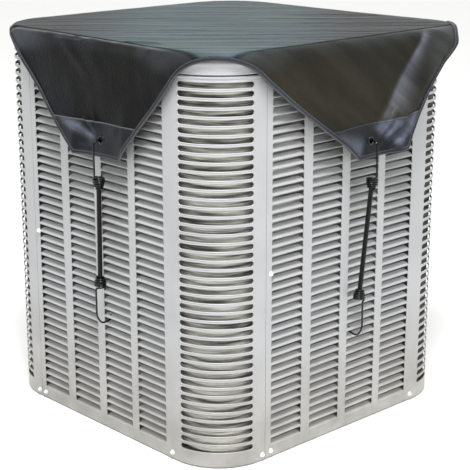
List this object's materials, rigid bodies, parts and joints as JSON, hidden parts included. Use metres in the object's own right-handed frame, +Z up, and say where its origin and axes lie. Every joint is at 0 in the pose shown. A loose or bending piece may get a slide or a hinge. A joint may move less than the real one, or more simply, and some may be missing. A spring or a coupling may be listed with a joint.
{
  "type": "air conditioner cover on a condenser cabinet",
  "caption": "Square coated-cloth top cover laid diagonally over a rounded square condenser cabinet, its tips held down by hooked bungee cords.",
  "frame": {"origin": "middle of the cabinet's underside, on the ground", "axes": "+Z up; the cabinet's faces look along +X, +Y, -X and -Y; the picture looks towards +X and +Y"},
  "size_m": [0.7741, 0.7875, 0.809],
  "materials": {
    "cover_cloth": "coated black cloth with a soft sheen",
    "patch_cloth": "coated black cloth, doubled at the tips",
    "eyelet_metal": "gloss black enamel",
    "hook_wire": "gloss black dipped wire",
    "bungee_cord": "black braided sheath",
    "cabinet_paint": "satin warm grey powder coat",
    "coil_fins": "dusty fins"
  },
  "bodies": {
    "root": {"cover": "cover_cloth", "patch_south": "patch_cloth", "patch_east": "patch_cloth", "patch_north": "patch_cloth", "patch_west": "patch_cloth", "eyelet_south": "eyelet_metal", "eyelet_east": "eyelet_metal", "eyelet_north": "eyelet_metal", "eyelet_west": "eyelet_metal", "upper_hook_south": "hook_wire", "upper_hook_east": "hook_wire", "upper_hook_north": "hook_wire", "upper_hook_west": "hook_wire", "cord_south": "bungee_cord", "cord_east": "bungee_cord", "cord_north": "bungee_cord", "cord_west": "bungee_cord", "lower_hook_south": "hook_wire", "lower_hook_east": "hook_wire", "lower_hook_north": "hook_wire", "lower_hook_west": "hook_wire", "wrap_panel_south": "cabinet_paint", "wrap_panel_east": "cabinet_paint", "wrap_panel_north": "cabinet_paint", "wrap_panel_west": "cabinet_paint", "top_cap": "cabinet_paint", "base_pan": "cabinet_paint", "condenser_core": "coil_fins"}
  },
  "joints": []
}
